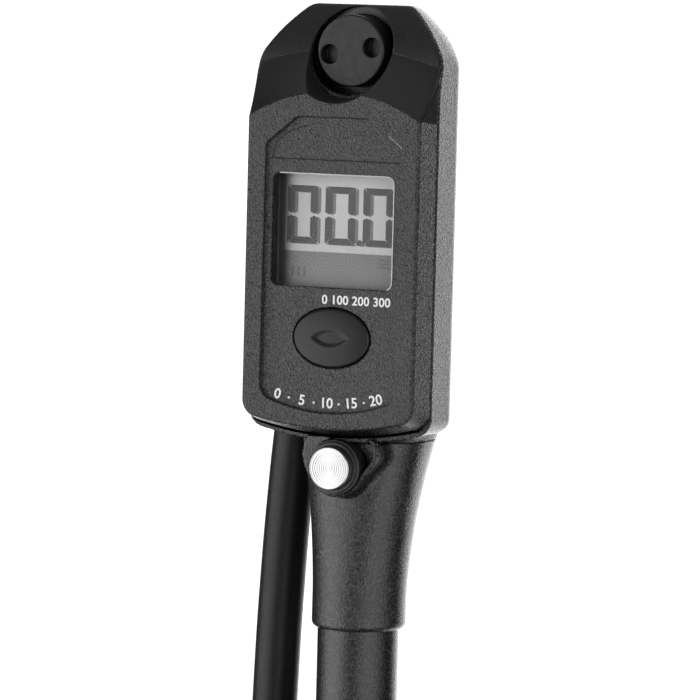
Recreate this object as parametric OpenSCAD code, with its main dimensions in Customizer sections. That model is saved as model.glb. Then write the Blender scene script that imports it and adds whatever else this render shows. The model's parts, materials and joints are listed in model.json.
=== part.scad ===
// Hand-held digital high-pressure pump: a gauge head on a slim barrel that
// slides in a handle, with a swivelling hose and a threaded chuck.
// Millimetres. Origin: middle of the handle's flat end. +Z runs along the
// barrel to the gauge head, -Y is the side of the display.

/* [Handle and plunger] */
// Radius of the flat end cap that the pump stands on
end_cap_r = 17; // [16:0.5:18]
// Outer radius of the rubber grip
grip_r = 15.5; // [15:0.1:16]
// Height of the closed handle
handle_h = 100; // [96:1:102]
// Radius of the steel plunger rod
rod_r = 4; // [3:0.1:4.4]
// Travel of the plunger
stroke = 100; // [80:1:100]

/* [Barrel] */
// Outer radius of the barrel
barrel_r = 9.5; // [9.3:0.1:9.8]
// Bore radius of the barrel
bore_r = 8; // [7.6:0.1:8.2]
// Height at which the neck begins above the barrel
neck_z = 130; // [128:1:132]

/* [Gauge head] */
// Half width of the rear housing
head_w = 22.97; // [22.5:0.01:23.5]
// Height of the middle of the head's lower edge
head_z = 174.6; // [174.4:0.1:175]
// Height of the flat top
top_z = 275; // [274.8:0.1:276]
// Half width of the flat top
top_w = 12.4; // [12:0.1:13]
// Height at which the sides turn into the shoulders
shoulder_z = 262.5; // [261:0.5:264]
// Plane of the grained front face
face_y = -21.35; // [-21.6:0.05:-21.2]
// Plane where the front cover meets the rear housing
part_y = -14; // [-14.2:0.1:-13.8]
// Plane of the flat back
back_y = 6.5; // [6.3:0.1:6.6]
// Wall thickness of both shells
wall = 2; // [1.8:0.1:2.2]

/* [Display and button] */
// Half width of the display window
window_w = 15.2; // [15:0.1:15.4]
// Lower edge of the display window
window_z0 = 210.5; // [210:0.1:211]
// Upper edge of the display window
window_z1 = 236.3; // [236:0.1:236.6]
// Half width of the oval button
button_w = 9.45; // [9:0.05:9.6]
// Half height of the oval button
button_h = 6.75; // [6.5:0.05:6.9]
// Middle of the oval button
button_z = 199; // [198.5:0.1:199.5]

/* [Swivel and hose] */
// Height of the swivel axis
swivel_z = 264.4; // [264:0.1:264.5]
// Radius of the round pocket in the cover
pocket_r = 10.2; // [10:0.1:10.3]
// Radius of the cap in the pocket
cap_r = 8.3; // [8:0.1:8.6]
// Radius of the swivel shaft
shaft_r = 4; // [3.8:0.1:4.2]
// Plane in which the hose hangs
hose_y = 14.5; // [14.4:0.1:14.8]
// Radius of the hose
hose_r = 5.4; // [5:0.1:5.5]
// Angle at which the hose leaves the swivel, from straight down
hose_lean = 19.5; // [19:0.5:20]

/* [Bleed valve] */
// Height of the bleed valve's axis
bleed_z = 168.9; // [168.5:0.1:169.2]
// Radius of the bleed button
bleed_r = 5; // [4.8:0.1:5.2]

/* [Valve chuck] */
// Radius of the knurled collar
collar_r = 9; // [8.8:0.1:9.2]
// Radius of the threaded mouth, for an 8 mm valve
thread_r = 3.9; // [3.8:0.05:4]

/* [Hidden] */
$fn = 64;

fit = 0.05;            // radial play of a running fit
tiny = 0.01;           // thickness of a slice inside a hull
end_cap_t = 6;         // thickness of the end cap
handle_bore = 10.5;    // inner radius of the handle, clear of the barrel
sleeve_r = 13.4;       // outer radius of the tube inside the grip
sleeve_top = handle_h - 6;
grip_z = 7;            // lower end of the grip
grip_top = handle_h - 8;
gland_z = 14;          // lower face of the gland
barrel_z = 16;         // lower end of the barrel
barrel_top = 146;      // upper end of the barrel, inside the neck
gland_h = 12;          // length of the gland inside the barrel
piston_z = barrel_z + gland_h + 2 + stroke;   // lower face of the piston, pump closed
seat_z = 150;          // upper face of the check valve seat
disc_t = 1.2;          // thickness of the check valve disc
tube_y = -4;           // axis of the air tube that climbs the head
tube_r = 2.5;          // radius of the air tube
passage_r = 1.2;       // radius of the drilled air passages
spigot_r = 6.5;        // radius of the neck's threaded spigot
nut_z = 183;           // lower face of the nut that holds the neck in the housing
nut_t = 3;             // thickness of that nut
block_y = -5.4;        // front face of the swivel block and back of the cap
cap_y = -12.7;         // front face of the cap
seal_ys = [10.6, 18.4];   // middles of the swivel's two seals
clip_y = 20.9;         // front face of the clip that holds the fitting on
clip_t = 1;            // thickness of the clip
clip_groove_r = 3.3;   // radius at the bottom of its groove
fitting_y = [8.5, 20.7];  // front and back face of the swivel fitting
ferrule_r = 6.6;       // radius of both crimped ferrules
lcd_y = -15.2;         // front face of the display panel
board_y = -10.6;       // front face of the circuit board
board_t = 1.2;         // thickness of the circuit board
panel_y = -20.7;       // floor of the shallow panel in the front face
screw_x = 13;          // screws left and right of the middle
screw_zs = [183.5, 249];
screw_r = 1.2;         // radius of a housing screw
post_r = 3;            // radius of a screw post
door_z = 222;          // middle of the battery door
door_r = 12.5;         // radius of the battery door
collar_y = -17;        // front face of the bleed valve's collar
button_y = -19.05;     // front face of the bleed button
chuck_x = -28.3;       // axis of the chuck
chuck_top = 40.6;      // upper end of the chuck's collar
mouth_z = 20.5;        // inner end of the chuck's threaded mouth
stem_r = 4.5;          // radius of the stem that the collar turns on

// The hose's middle line, from the upper ferrule to the lower one
hose_route = [[-9.4, 237.85], [-12.7, 228], [-15.6, 218], [-18.1, 208], [-20.2, 198],
    [-21.9, 188], [-23.25, 178], [-24.3, 168], [-25.15, 158], [-25.9, 148],
    [-26.5, 138], [-27.05, 128], [-27.45, 118], [-27.8, 108], [-28, 98],
    [-28.15, 88], [-28.25, 78], [-28.3, 68], [-28.3, 54]];

// ---------- outlines ----------

function arc_at(cx, cz, r, a0, a1, n) =
    [for (i = [0:n]) let (a = a0 + (a1 - a0) * i / n) [cx + r * cos(a), cz + r * sin(a)]];
function mirrored(pts) = [for (i = [len(pts) - 1:-1:0]) [-pts[i][0], pts[i][1]]];
function bow(p, q, s, n) =
    let (d = q - p, u = [d[1], -d[0]] / norm(d))
    [for (i = [0:n]) let (t = i / n) p + d * t + u * 4 * s * t * (1 - t)];
sole_r = 83;           // radius of the head's gently bowed lower edge
corner_r = 3;          // rounding of its lower corners
// Half width w, lowest point z0 and an inset d give one outline of the head
function sole(z0, x) = z0 + sole_r - sqrt(sole_r * sole_r - x * x);
function head_half(w, z0, d) =
    let (c = corner_r, x = w - d, zc = sole(z0 + d, x - c) + c)
    concat([for (i = [0:8]) let (u = (x - c) * i / 8) [u, sole(z0 + d, u)]],
        arc_at(x - c, zc, c, -80, 0, 5),
        bow([x, shoulder_z - d * 0.4], [top_w - d * 0.5, top_z - d], 0.9, 6));
function head_pts(w, z0, d) =
    let (h = head_half(w, z0, d)) concat(h, [for (p = mirrored(h)) if (abs(p[0]) > 0.01) p]);
function oval(a, b, n = 40) = [for (i = [0:n - 1]) [a * cos(360 * i / n), b * sin(360 * i / n)]];
function box_pts(x, z0, z1, r) = concat(
    arc_at(x - r, z0 + r, r, -90, 0, 6), arc_at(x - r, z1 - r, r, 0, 90, 6),
    arc_at(-x + r, z1 - r, r, 90, 180, 6), arc_at(-x + r, z0 + r, r, 180, 270, 6));

// ---------- helpers ----------

// An outline in X and Z, made solid from y0 to y1
module slab(y0, y1, pts) {
    translate([0, y1, 0]) rotate([90, 0, 0]) linear_extrude(y1 - y0) polygon(pts);
}
// An outline in Y and Z, made solid across the whole width
module across(pts) {
    translate([-30, 0, 0]) rotate([90, 0, 90]) linear_extrude(60) polygon(pts);
}
module rod(r, z0, z1) {
    translate([0, 0, z0]) cylinder(r = r, h = z1 - z0);
}
module rod_y(r, y0, y1, x = 0, z = 0) {
    translate([x, y0, z]) rotate([-90, 0, 0]) cylinder(r = r, h = y1 - y0);
}
module tube(ro, ri, z0, z1) {
    difference() {
        rod(ro, z0, z1);
        rod(ri, z0 - 1, z1 + 1);
    }
}
module ring(r, t) {
    rotate_extrude() translate([r, 0]) circle(r = t, $fn = 24);
}
module ring_y(r, t, y, z) {
    translate([0, y, z]) rotate([-90, 0, 0]) ring(r, t);
}
module hexagon(r, z0, z1) {
    translate([0, 0, z0]) cylinder(r = r, h = z1 - z0, $fn = 6);
}
module on_lean(from, to, r) {
    translate([0, hose_y, swivel_z]) rotate([0, 180 + hose_lean, 0])
        translate([0, 0, from]) cylinder(r = r, h = to - from);
}
module at_chuck() {
    translate([chuck_x, hose_y, 0]) children();
}

// Sweep a round section along points; up is never parallel to the path
function unit(v) = v / norm(v);
function heading(p, i) = unit(p[min(i + 1, len(p) - 1)] - p[max(i - 1, 0)]);
function hoop(c, t, up, r, n) =
    let (a = unit(cross(t, up)), b = cross(a, t))
    [for (k = [0:n - 1]) c + r * (a * cos(360 * k / n) + b * sin(360 * k / n))];
module sweep(path, r, n, up) {
    m = len(path);
    points = [for (i = [0:m - 1]) each hoop(path[i], heading(path, i), up, r, n)];
    walls = [for (i = [0:m - 2], k = [0:n - 1])
        let (k1 = (k + 1) % n) [i * n + k, i * n + k1, (i + 1) * n + k1, (i + 1) * n + k]];
    first = [for (k = [n - 1:-1:0]) k];
    last = [for (k = [0:n - 1]) (m - 1) * n + k];
    polyhedron(points, concat(walls, [first, last]));
}
function coil(r, h, turns, n) =
    [for (i = [0:turns * n]) [r * cos(360 * i / n), r * sin(360 * i / n), h * i / (turns * n)]];

// ---------- handle and plunger ----------

module handle_end_cap() {
    color("#222222") difference() {
        union() {
            rotate_extrude() polygon(concat([[0, 0]], arc_at(end_cap_r - 1, 1, 1, -90, 0, 5),
                arc_at(end_cap_r - 1.5, end_cap_t - 1.5, 1.5, 0, 90, 5), [[0, end_cap_t]]));
            rod(handle_bore - 2 * fit, end_cap_t - 1, end_cap_t + 2);
        }
        rod(rod_r, 2, 9);
    }
}
module handle_tube() {
    color("#303030") tube(sleeve_r, handle_bore, end_cap_t, sleeve_top);
}
module handle_grip() {
    grooves = 7;
    pitch = (handle_h - 20) / grooves;
    color("#1c1c1c") difference() {
        tube(grip_r, sleeve_r, grip_z, grip_top);
        for (i = [0:grooves - 1])
            translate([0, 0, grip_z + end_cap_t + pitch * i]) rotate_extrude()
                translate([grip_r + 0.9, 0]) circle(r = 1.7, $fn = 32);
    }
}
module handle_collar() {
    color("#222222") difference() {
        rod(grip_r + 0.7, grip_top, handle_h);
        rod(handle_bore, grip_top - 1, handle_h + 1);
        rod(sleeve_r, grip_top - 1, sleeve_top);
    }
}
module rod_nut() {
    color("silver") difference() {
        hexagon(7, 8, 11.5);
        rod(rod_r, 7, 12);
    }
}
module bumper_ring() {
    color("#151515") tube(8.6, rod_r, 11.5, 13.4);
}
module plunger_rod() {
    color("silver") {
        rod(rod_r, 2, piston_z);
        rod(2.5, piston_z, piston_z + 14);
    }
}
module piston() {
    color("#d0c8a8") difference() {
        rod(bore_r - fit, piston_z, piston_z + 11);
        rod(2.5, piston_z - 1, piston_z + 12);
        difference() {
            rod(bore_r + 1, piston_z + 4.5, piston_z + 6.5);
            rod(6.8, piston_z + 4, piston_z + 7);
        }
    }
}
module piston_seal() {
    color("#151515") translate([0, 0, piston_z + 5.5]) ring(7.38, 0.58);
}
module piston_nut() {
    color("silver") difference() {
        hexagon(4.6, piston_z + 11, piston_z + 14);
        rod(2.5, piston_z + 10, piston_z + 15);
    }
}

// ---------- barrel and valves ----------

module barrel() {
    color("#202020") tube(barrel_r, bore_r, barrel_z, barrel_top);
}
module barrel_gland() {
    color("#c8b060") difference() {
        union() {
            rod(barrel_r, gland_z, barrel_z);
            rod(bore_r, barrel_z, barrel_z + gland_h);
        }
        rod(rod_r + fit, gland_z - 1, barrel_z + gland_h + 1);
        rod(5.2, 20.5, 22.5);
    }
}
module gland_seal() {
    color("#151515") translate([0, 0, 21.5]) ring(rod_r + 0.62, 0.56);
}
module barrel_top_seal() {
    color("#151515") tube(9.4, 6.5, barrel_top, barrel_top + 1.5);
}
module check_valve_seat() {
    color("#c8b060") tube(9.4, 1.8, barrel_top + 1.5, seat_z);
}
module check_valve_disc() {
    color("#303030") rod(2.8, seat_z + 0.02, seat_z + 0.02 + disc_t);
}
module check_valve_spring() {
    color("silver") translate([0, 0, seat_z + disc_t + 0.35])
        sweep(coil(1.9, 5.2, 4, 12), 0.25, 6, [0, 0, 1]);
}

// ---------- neck with the bleed valve ----------

// Height, half width, half depth and middle in Y of each section of the neck
neck_rows = [[neck_z, 9.8, 9.8, 0], [neck_z + 1.6, 11.05, 11.05, 0], [148, 11.7, 11.6, 0.9],
    [160, 12.9, 12.3, 1.8], [170, 14.6, 13.1, 3.1], [176, 15.6, 13.5, 3.8]];
module neck_slice(row) {
    translate([0, row[3], row[0]]) linear_extrude(tiny) polygon(oval(row[1], row[2]));
}
module neck_body() {
    m = len(neck_rows);
    n = 40;
    points = [for (row = neck_rows) each [for (p = oval(row[1], row[2], n)) [p[0], p[1] + row[3], row[0]]]];
    walls = [for (i = [0:m - 2], k = [0:n - 1])
        let (a = i * n + k, b = i * n + (k + 1) % n) each [[a, a + n, b], [b, a + n, b + n]]];
    first = [for (k = [0:n - 1]) k];
    last = [for (k = [n - 1:-1:0]) (m - 1) * n + k];
    polyhedron(points, concat(walls, [first, last]));
}
module bleed_boss() {
    hull() {
        rod_y(7.2, -15.4, -8, 0, bleed_z);
        slab(-14.4, -8, box_pts(9.6, 170.5, 175.8, 1.5));
    }
}
// The room that the rear housing takes above the neck and the bleed valve
module under_head() {
    translate([-30, part_y - 0.1, head_z - 0.2]) cube([60, 60, 10]);
}
module neck() {
    color("#2a2a2a") difference() {
        union() {
            difference() {
                union() {
                    neck_body();
                    bleed_boss();
                }
                under_head();
            }
            translate([0, tube_y, 0]) rod(spigot_r, bleed_z, nut_z + nut_t + 1);
        }
        rod(barrel_r, neck_z - 1, seat_z);
        rod(3.2, seat_z - 1, 157.1);
        rod(1.6, 157, bleed_z);
        translate([0, tube_y, 0]) rod(passage_r, bleed_z, 176);
        translate([0, tube_y, 0]) rod(tube_r, 176, nut_z + nut_t + 2);
        rod_y(6.4, -20, -9, 0, bleed_z);
        rod_y(3.5, -10, -6.5, 0, bleed_z);
        rod_y(1.7, -7, -4, 0, bleed_z);
        rod_y(2.6, -5, 3, 0, bleed_z);
    }
}
module neck_nut() {
    color("silver") translate([0, tube_y, 0]) difference() {
        rod(8.1, nut_z, nut_z + nut_t);
        rod(spigot_r + fit, nut_z - 1, nut_z + nut_t + 1);
    }
}
module bleed_collar() {
    color("#1a1a1a") difference() {
        union() {
            rod_y(6.4, collar_y + 0.7, -9, 0, bleed_z);
            rod_y(5.9, collar_y, collar_y + 1, 0, bleed_z);
        }
        rod_y(bleed_r + fit, collar_y - 1, -11.4, 0, bleed_z);
        rod_y(2.6, -12, -8, 0, bleed_z);
        under_head();
    }
}
module bleed_button() {
    color("#c9ccd0") difference() {
        rod_y(bleed_r, button_y, -14, 0, bleed_z);
        rod_y(1.5, -16, -13, 0, bleed_z);
    }
}
module bleed_stem() {
    color("silver") {
        rod_y(1.5, -16, -4.6, 0, bleed_z);
        rod_y(2.2, -4.95, -3.6, 0, bleed_z);
    }
}
module bleed_spring() {
    color("silver") translate([0, -13.7, bleed_z]) rotate([-90, 0, 0])
        sweep(coil(2.1, 6.9, 5, 12), 0.22, 6, [0, 0, 1]);
}

// ---------- gauge head ----------

// The line where cover and housing meet, from below to the top
parting = [[part_y, 150], [part_y, 256], [-4.85, top_z + 0.1], [-4.85, 290]];

module head_solid() {
    hull() {
        slab(part_y, -1.7, head_pts(head_w, head_z, 0));
        slab(back_y - tiny, back_y, head_pts(head_w - 7, head_z + 5, 0));
    }
}
// The swell that carries the neck's line up the back and fades out
module back_swell() {
    hull() {
        neck_slice([head_z - 0.2, 15.3, 13.4, 3.6]);
        neck_slice([186, 12, 10.2, 3]);
        neck_slice([200, 8, 5.5, 1]);
    }
}
module rear_housing() {
    color("#4a4a4a") difference() {
        intersection() {
            union() {
                head_solid();
                back_swell();
            }
            translate([-30, part_y, head_z - 0.2]) cube([60, 40, 110]);
        }
        across(concat(parting, [[-30, 290], [-30, 150]]));
        hull() {
            slab(part_y - 1, -2.2, head_pts(head_w, head_z, wall));
            slab(back_y - wall - tiny, back_y - wall, head_pts(head_w - 8, head_z + 6, wall));
        }
        translate([0, tube_y, 0]) rod(spigot_r + fit, 170, 180);
        rod_y(6, 0, 8, 0, swivel_z);
        rod_y(door_r + 0.1, 3, 8, 0, door_z);
        rod_y(pocket_r, -20, block_y, 0, swivel_z);
        for (x = [-screw_x, screw_x], z = screw_zs) {
            rod_y(screw_r + 0.2, 3, 8, x, z);
            rod_y(2.6, 5.2, 8, x, z);
        }
    }
    color("#4a4a4a") translate([0, tube_y, 0]) tube(8.2, spigot_r + fit, 176, nut_z);
    color("#4a4a4a") for (x = [-screw_x, screw_x], z = screw_zs)
        difference() {
            rod_y(post_r, -8.95, back_y - wall, x, z);
            rod_y(screw_r + 0.2, -10, 5, x, z);
        }
}

// Side view of the cover: vertical face, two scooped slopes and the top
cover_side = concat([[part_y, 150], [face_y, 150], [face_y, 251.5], [-18.6, 254.6],
    [-16.4, 257.2], [-13, 262.6], [-7.3, top_z], [-7.3, 290], [-4.85, 290]],
    [[-4.85, top_z + 0.1], [part_y, 256]]);
panel_half = concat([[0, 181.7]], [[8, 182.1], [14.5, 183.4]], arc_at(14.6, 185.7, 2.3, -70, 0, 4),
    [[16.9, 241.5]], arc_at(15.4, 241.8, 1.5, 0, 40, 3), [[8.6, 249.35], [0, 249.35]]);
module front_cover() {
    color("#262626") difference() {
        intersection() {
            hull() {
                slab(part_y, -4, head_pts(head_w - 0.1, 175.9, 0));
                slab(face_y, face_y + tiny, head_pts(head_w - 1.55, 178, 0));
            }
            across(cover_side);
        }
        slab(face_y + wall, part_y + 1, box_pts(head_w - wall - 1.5, 181, 250, 2));
        slab(face_y - 1, panel_y, concat(panel_half, mirrored(panel_half)));
        slab(face_y - 1, -10, box_pts(window_w, window_z0, window_z1, 1.8));
        translate([0.6, 0, button_z]) slab(face_y - 1, -10, oval(button_w + 0.25, button_h + 0.25));
        rod_y(pocket_r, -30, 0, 0, swivel_z);
    }
    color("#262626") for (x = [-screw_x, screw_x], z = screw_zs)
        difference() {
            rod_y(post_r, face_y + wall - 0.1, -9, x, z);
            rod_y(screw_r, -15, -8, x, z);
        }
}
module housing_screws() {
    color("silver") for (x = [-screw_x, screw_x], z = screw_zs) {
        difference() {
            rod_y(2.4, 5.2, 6.2, x, z);
            translate([x, 5.7, z]) rotate([-90, 0, 0]) cylinder(r = 1.1, h = 2, $fn = 6);
        }
        rod_y(screw_r - tiny, -14, 5.3, x, z);
    }
}
module circuit_board() {
    color("#1f5a34") slab(board_y, board_y + board_t, box_pts(17.5, 188, 245.5, 1));
}
module lcd_panel() {
    color("#a8b0a8") slab(lcd_y, lcd_y + 2.2, box_pts(17, 208.5, 238.5, 0.3));
}
module lcd_frame() {
    color("#181818") difference() {
        slab(face_y + wall, board_y, box_pts(18.2, 207.3, 239.7, 0.8));
        slab(lcd_y, 0, box_pts(17.1, 208.4, 238.6, 0.3));
        slab(-30, 0, box_pts(15.8, 209.9, 236.9, 1.5));
    }
}
module window_lens() {
    color("#d8e0e0") slab(-16, lcd_y, box_pts(15.75, 209.95, 236.85, 1.5));
}
module tact_switch() {
    color("#303030") translate([0.6, 0, button_z]) slab(-13.9, board_y, box_pts(3, -3, 3, 0.3));
}
module pressure_sensor() {
    color("silver") rod_y(3, board_y + board_t, -5, 6, 242);
}
module mode_button() {
    color("#303030") translate([0.6, 0, button_z]) {
        slab(-21.6, -19.2, oval(button_w, button_h));
        slab(-19.25, -18.5, oval(button_w + 0.9, button_h + 0.9));
        rod_y(2, -18.6, -14.6);
    }
}
module coin_cell() {
    color("silver") rod_y(10, 0.8, 4, 0, door_z);
}
module battery_contact() {
    color("#c8b060") {
        slab(0.3, 0.8, box_pts(3, door_z - 10, door_z + 10, 0.5));
        for (s = [-1, 1])
            translate([s * 6 - 0.75, board_y + board_t, door_z + 6]) cube([1.5, 10.2, 1]);
        translate([-6.5, 0.3, door_z + 6]) cube([13, 0.5, 1]);
    }
}
module battery_door() {
    color("#383838") difference() {
        union() {
            rod_y(door_r, 4.3, 6.9, 0, door_z);
            for (s = [0, 180])
                translate([0, 0, door_z]) rotate([0, s, 0])
                    translate([11, 3, -3]) cube([2.1, 1.1, 6]);
            difference() {
                rod_y(door_r - 0.1, 3, 4.4, 0, door_z);
                rod_y(10.4, 2, 4.3, 0, door_z);
            }
        }
        translate([-7, 6, door_z - 0.8]) cube([14, 2, 1.6]);
        difference() {
            rod_y(door_r + 1, 5.1, 6, 0, door_z);
            rod_y(11.7, 5, 6.1, 0, door_z);
        }
    }
}
module battery_door_seal() {
    color("#151515") ring_y(12.12, 0.42, 5.55, door_z);
}

// ---------- swivel ----------

module air_tube() {
    color("silver") translate([0, tube_y, 0]) tube(tube_r, passage_r, 176, 251);
}
module swivel_block() {
    color("#222224") difference() {
        union() {
            slab(block_y, back_y - wall, box_pts(9.5, 250, 272, 1));
            slab(-5, 0, [[2.7, 238.5], [9.5, 238.5], [9.5, 251], [2.7, 251]]);
        }
        rod_y(shaft_r, -10, 10, 0, swivel_z);
        translate([0, tube_y, 0]) rod(tube_r, 249, 251);
        rod(passage_r, 252, 263);
        rod_y(passage_r, tube_y, 0, 0, 253.2);
        translate([0, tube_y, 0]) rod(passage_r, 250.5, 253.2);
        rod_y(1, -6, -2, 6, 242);
        translate([6, -2, 0]) rod(1, 242, 253.2);
        translate([0, -2, 253.2]) rotate([0, 90, 0]) cylinder(r = 1, h = 6);
    }
}
module swivel_bolt() {
    spanner_r = 5.35;
    tilt = 9.6;
    color("#3a3a3a") difference() {
        union() {
            rod_y(cap_r, cap_y, block_y, 0, swivel_z);
            rod_y(shaft_r, block_y - 0.1, 22.4, 0, swivel_z);
        }
        for (s = [0, 180])
            translate([0, 0, swivel_z]) rotate([0, s - tilt, 0])
                rod_y(2.2, cap_y - 1, cap_y + 3, spanner_r);
        rod_y(1.5, -2, 16.5, 0, swivel_z);
        rod(passage_r, 255, swivel_z);
        translate([0, hose_y, 0]) rod(passage_r, 255, swivel_z);
        for (y = seal_ys)
            difference() {
                rod_y(shaft_r + 1, y - 0.5, y + 0.5, 0, swivel_z);
                rod_y(3.2, y - 1, y + 1, 0, swivel_z);
            }
        difference() {
            rod_y(shaft_r + 1, clip_y, clip_y + clip_t, 0, swivel_z);
            rod_y(clip_groove_r, 20, 22, 0, swivel_z);
        }
    }
}
module swivel_spacer() {
    color("silver") difference() {
        rod_y(6, back_y - wall, fitting_y[0] - 0.1, 0, swivel_z);
        rod_y(shaft_r, 4, 9, 0, swivel_z);
    }
}
module swivel_seals() {
    color("#151515") for (y = seal_ys)
        ring_y(3.62, 0.41, y, swivel_z);
}
module swivel_clip() {
    color("silver") difference() {
        rod_y(6, clip_y, clip_y + clip_t, 0, swivel_z);
        rod_y(clip_groove_r, 20, 22.5, 0, swivel_z);
        translate([-1.5, 20, swivel_z]) cube([3, 3, 10]);
    }
}
module swivel_fitting() {
    color("#2c2c2c") difference() {
        union() {
            rod_y(8.2, fitting_y[0], fitting_y[1], 0, swivel_z);
            on_lean(6, 15, 5);
        }
        rod_y(shaft_r + fit, 8, 21, 0, swivel_z);
        rod_y(4.8, hose_y - 1.5, hose_y + 1.5, 0, swivel_z);
        on_lean(2, 16, 1.5);
    }
}
module hose_ferrule_top() {
    color("silver") difference() {
        on_lean(15, 28, ferrule_r);
        on_lean(14, 27, 1.5);
    }
}
module hose() {
    color("#141414") sweep([for (p = hose_route) [p[0], hose_y, p[1]]], hose_r, 12, [0, 1, 0]);
}
module hose_ferrule_end() {
    color("silver") at_chuck() difference() {
        rod(ferrule_r, 41, 54);
        rod(1.5, 40, 53);
    }
}

// ---------- chuck ----------

module chuck_stem() {
    color("#c8b060") at_chuck() difference() {
        union() {
            rod(stem_r, 24.5, 41);
            rod(5.5, 24.5, 26.7);
        }
        rod(2.4, 26.5, 42);
        for (a = [0, 120, 240])
            rotate([0, 0, a]) translate([1.9, 0, 24]) cylinder(r = 0.45, h = 4);
    }
}
module chuck_pin() {
    color("silver") at_chuck() rod(0.9, mouth_z, 24.5);
}
module chuck_collar() {
    flutes = 24;
    color("#c9ccd0") at_chuck() difference() {
        rod(collar_r, 14, chuck_top);
        rod(stem_r + fit, 13, 42);
        rod(5.8, 13, 27);
        for (i = [0:flutes - 1])
            rotate([0, 0, 360 * i / flutes])
                translate([collar_r + 0.35, 0, 18]) cylinder(r = 0.75, h = 18, $fn = 24);
    }
}
module chuck_insert() {
    color("#c8b060") at_chuck() difference() {
        union() {
            rod(5.8, 14, 24);
            rod(7.4, 12, 14);
        }
        rod(thread_r, 11, mouth_z);
        rod(5, mouth_z - 0.1, 25);
    }
}
module chuck_seal() {
    color("#151515") at_chuck() tube(4.95, 1.7, mouth_z, mouth_z + 2.3);
}

handle_end_cap();
handle_tube();
handle_grip();
handle_collar();
rod_nut();
bumper_ring();
plunger_rod();
piston();
piston_seal();
piston_nut();
barrel();
barrel_gland();
gland_seal();
barrel_top_seal();
check_valve_seat();
check_valve_disc();
check_valve_spring();
neck();
neck_nut();
air_tube();
swivel_block();
swivel_bolt();
swivel_spacer();
swivel_seals();
swivel_clip();
rear_housing();
front_cover();
housing_screws();
circuit_board();
lcd_panel();
lcd_frame();
window_lens();
tact_switch();
pressure_sensor();
mode_button();
coin_cell();
battery_contact();
battery_door();
battery_door_seal();
bleed_collar();
bleed_button();
bleed_stem();
bleed_spring();
swivel_fitting();
hose_ferrule_top();
hose();
hose_ferrule_end();
chuck_stem();
chuck_pin();
chuck_collar();
chuck_insert();
chuck_seal();
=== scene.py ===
"""Looks of a hand-held digital high-pressure pump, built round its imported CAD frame.

Blender works in metres. The shape functions below work in millimetres, in the frame of the CAD
model: origin in the middle of the handle's flat end, +Z up the barrel, -Y towards the reader.
"""

import json
import math

import bpy
import numpy as np
from mathutils import Matrix, Vector


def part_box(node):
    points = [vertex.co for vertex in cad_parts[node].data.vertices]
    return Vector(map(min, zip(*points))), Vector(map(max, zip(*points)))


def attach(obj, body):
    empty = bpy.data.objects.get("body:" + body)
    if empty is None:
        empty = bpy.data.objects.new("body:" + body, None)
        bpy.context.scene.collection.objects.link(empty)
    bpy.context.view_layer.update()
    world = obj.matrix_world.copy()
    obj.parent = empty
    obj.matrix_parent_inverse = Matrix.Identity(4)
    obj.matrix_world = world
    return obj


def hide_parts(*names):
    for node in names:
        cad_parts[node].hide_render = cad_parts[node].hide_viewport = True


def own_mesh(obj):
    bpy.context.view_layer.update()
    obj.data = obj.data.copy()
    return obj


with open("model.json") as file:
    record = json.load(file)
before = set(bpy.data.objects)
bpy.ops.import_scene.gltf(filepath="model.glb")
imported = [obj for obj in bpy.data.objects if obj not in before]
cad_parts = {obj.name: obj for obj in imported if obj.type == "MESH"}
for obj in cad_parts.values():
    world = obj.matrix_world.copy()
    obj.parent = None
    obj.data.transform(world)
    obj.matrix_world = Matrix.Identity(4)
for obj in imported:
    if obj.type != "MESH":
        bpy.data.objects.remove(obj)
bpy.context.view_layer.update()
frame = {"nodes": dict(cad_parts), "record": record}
nodes = frame["nodes"]
MM = 0.001

# ---------------------------------------------------------------- camera, then the hose

AZIMUTH = math.radians(24.26)
ELEVATION = math.radians(4.68)
ROLL = math.radians(1.484)
TARGET = Vector((-3.95, 0, 194.7)) * MM
DISTANCE = 1115 * MM
LENS = 246.6

forward = Vector((-math.sin(AZIMUTH) * math.cos(ELEVATION),
                  math.cos(AZIMUTH) * math.cos(ELEVATION), -math.sin(ELEVATION)))
level_right = Vector((math.cos(AZIMUTH), math.sin(AZIMUTH), 0))
level_up = level_right.cross(forward)
right = level_right * math.cos(ROLL) + level_up * math.sin(ROLL)
up = level_up * math.cos(ROLL) - level_right * math.sin(ROLL)

camera_data = bpy.data.cameras.new("camera")
camera_data.lens = LENS
camera_data.sensor_width = 36
camera_data.clip_end = 200
camera = bpy.data.objects.new("camera", camera_data)
bpy.context.scene.collection.objects.link(camera)
turn = Matrix((right, up, -forward)).transposed()
camera.matrix_world = Matrix.Translation(TARGET - forward * DISTANCE) @ turn.to_4x4()
bpy.context.scene.camera = camera

# The hose's middle line in X and Z, millimetres, as in the CAD model
HOSE_ROUTE = [(-9.4, 237.85), (-12.7, 228), (-15.6, 218), (-18.1, 208), (-20.2, 198),
              (-21.9, 188), (-23.25, 178), (-24.3, 168), (-25.15, 158), (-25.9, 148),
              (-26.5, 138), (-27.05, 128), (-27.45, 118), (-27.8, 108), (-28, 98),
              (-28.15, 88), (-28.25, 78), (-28.3, 68), (-28.3, 54)]
HOSE_Y = 14.5
HOSE_R = 5.4


def make_hose():
    data = bpy.data.curves.new("hose_tube", "CURVE")
    data.dimensions = "3D"
    data.bevel_depth = HOSE_R * MM
    data.bevel_resolution = 10
    data.resolution_u = 6
    data.use_fill_caps = True
    spline = data.splines.new("BEZIER")
    spline.bezier_points.add(len(HOSE_ROUTE) - 1)
    for point, (x, z) in zip(spline.bezier_points, HOSE_ROUTE):
        point.co = Vector((x, HOSE_Y, z)) * MM
        point.handle_left_type = point.handle_right_type = "AUTO"
    hose = bpy.data.objects.new("hose_tube", data)
    bpy.context.scene.collection.objects.link(hose)
    return hose


hose = make_hose()

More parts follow.
